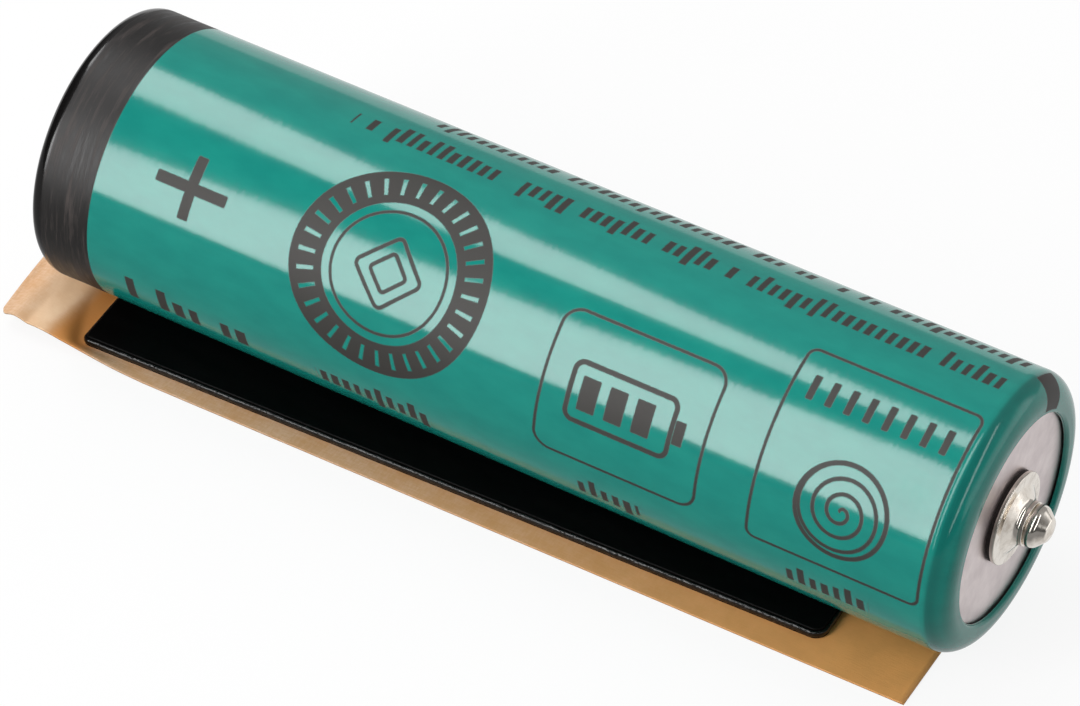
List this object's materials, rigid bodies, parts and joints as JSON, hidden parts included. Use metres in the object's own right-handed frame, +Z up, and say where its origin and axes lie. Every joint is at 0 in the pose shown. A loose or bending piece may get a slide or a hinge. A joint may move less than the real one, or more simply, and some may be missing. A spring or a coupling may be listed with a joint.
{
  "type": "cylindrical battery cell",
  "caption": "Sleeved cylindrical rechargeable cell with a contact pin on its negative end, on a double-sided adhesive pad with its release liner.",
  "frame": {"origin": "on the underside of the release liner, directly below the middle of the sleeve", "axes": "+X along the cell towards the negative end and its contact pin, +Z up, away from the liner"},
  "size_m": [0.0541, 0.0146, 0.0146],
  "materials": {
    "sleeve_film": "shrunk green film with a black printed band, semi-gloss",
    "plated_can": "satin nickel plate",
    "bright_nickel": "bright nickel plate",
    "white_insulator": "matt white",
    "nylon": "natural, slightly translucent",
    "valve_rubber": "black moulded rubber",
    "spring_steel": "drawn wire",
    "nickel_strip": "rolled nickel",
    "positive_sheet": "pressed hydroxide paste on nickel foam",
    "negative_sheet": "pressed alloy powder on punched strip",
    "separator_felt": "thin non-woven felt",
    "adhesive_film": "black tacky film, glossy",
    "black_foam": "black closed-cell foam",
    "kraft_paper": "brown kraft paper, matt outside"
  },
  "bodies": {
    "cell": {"sleeve": "sleeve_film", "can": "plated_can", "contact_pin": "bright_nickel", "insulating_washer": "white_insulator", "gasket": "nylon", "positive_cap": "bright_nickel", "sealing_plate": "plated_can", "vent_spring": "spring_steel", "positive_lead": "nickel_strip", "positive_collector": "nickel_strip", "upper_insulator": "white_insulator", "lower_insulator": "white_insulator", "positive_electrode": "positive_sheet", "negative_electrode": "negative_sheet", "inner_separator": "separator_felt", "outer_separator": "separator_felt", "pad_upper_adhesive": "adhesive_film", "pad_foam": "black_foam", "pad_lower_adhesive": "adhesive_film"},
    "vent": {"vent_valve": "valve_rubber", "valve_plate": "bright_nickel"},
    "liner": {"release_liner": "kraft_paper"}
  },
  "joints": [
    {"name": "vent_lift", "type": "slide", "parent": "cell", "child": "vent", "axis": [-1, 0, 0], "range_m": [0, 0.00025], "stiffness_N_per_m": 1700, "springref_m": -0.001, "deforming": ["vent_spring"]},
    {"name": "liner_peel", "type": "slide", "parent": "cell", "child": "liner", "axis": [-1, 0, 0], "range_m": [0, 0.047]}
  ]
}
